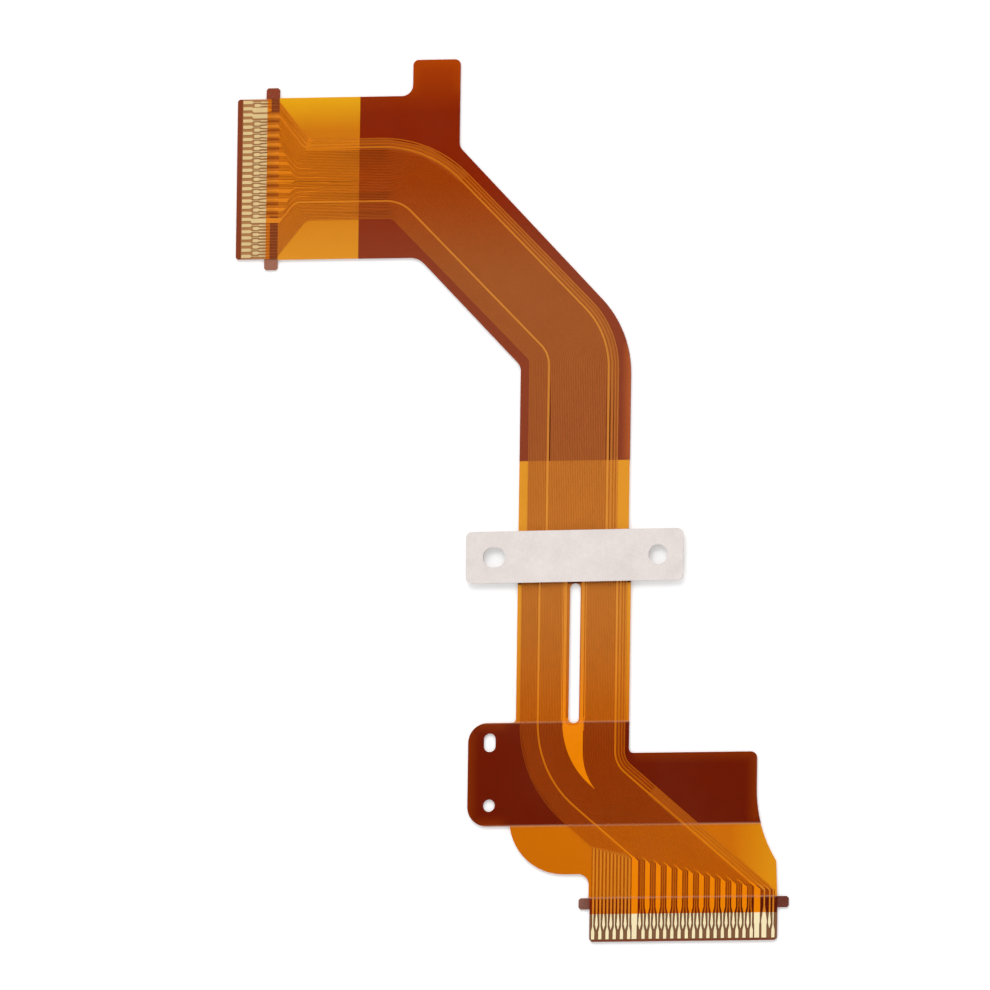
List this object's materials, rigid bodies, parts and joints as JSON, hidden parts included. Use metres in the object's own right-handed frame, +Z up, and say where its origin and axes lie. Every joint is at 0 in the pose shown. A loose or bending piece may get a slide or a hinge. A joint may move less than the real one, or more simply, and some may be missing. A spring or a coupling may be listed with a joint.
{
  "type": "flat flex cable",
  "caption": "Flat flexible printed circuit in amber film, with a contact end on an arm at the left, a wider one at the foot, locating holes and a taped mounting strip.",
  "frame": {"origin": "middle of the whole outline, on the plane that the circuit lies on", "axes": "+Y up the long run, from the lower contact end to the arm; +X across it, away from the arm's contact end; +Z up, out of the contact side"},
  "size_m": [0.047, 0.0716, 0.0005],
  "materials": {
    "amber_film": "satin",
    "cover_film": "gloss",
    "backing_film": "satin",
    "stiffener": "satin",
    "copper": "satin",
    "adhesive_tape": "satin",
    "release_paper": "satin"
  },
  "bodies": {
    "root": {"base_film": "amber_film", "conductor_01": "copper", "conductor_02": "copper", "conductor_03": "copper", "conductor_04": "copper", "conductor_05": "copper", "conductor_06": "copper", "conductor_07": "copper", "conductor_08": "copper", "conductor_09": "copper", "conductor_10": "copper", "conductor_11": "copper", "conductor_12_13": "copper", "conductor_14": "copper", "conductor_15": "copper", "conductor_16": "copper", "conductor_17": "copper", "conductor_18": "copper", "conductor_19": "copper", "conductor_20": "copper", "conductor_21": "copper", "conductor_22": "copper", "conductor_23": "copper", "conductor_24": "copper", "conductor_25": "copper", "conductor_26": "copper", "conductor_27": "copper", "conductor_28": "copper", "conductor_29": "copper", "conductor_30": "copper", "conductor_31": "copper", "conductor_32": "copper", "conductor_33": "copper", "conductor_34": "copper", "conductor_35": "copper", "conductor_36": "copper", "conductor_37": "copper", "conductor_38": "copper", "conductor_39": "copper", "conductor_40": "copper", "conductor_41": "copper", "conductor_42": "copper", "conductor_43": "copper", "conductor_44": "copper", "conductor_45": "copper", "conductor_46_47": "copper", "conductor_48_49": "copper", "conductor_50": "copper", "conductor_51": "copper", "cover_film": "cover_film", "left_end_stiffener": "stiffener", "lower_backing_film": "backing_film", "lower_end_stiffener": "stiffener", "mounting_tape": "adhesive_tape", "release_liner": "release_paper", "slot_guard": "copper", "upper_backing_film": "backing_film"}
  },
  "joints": []
}
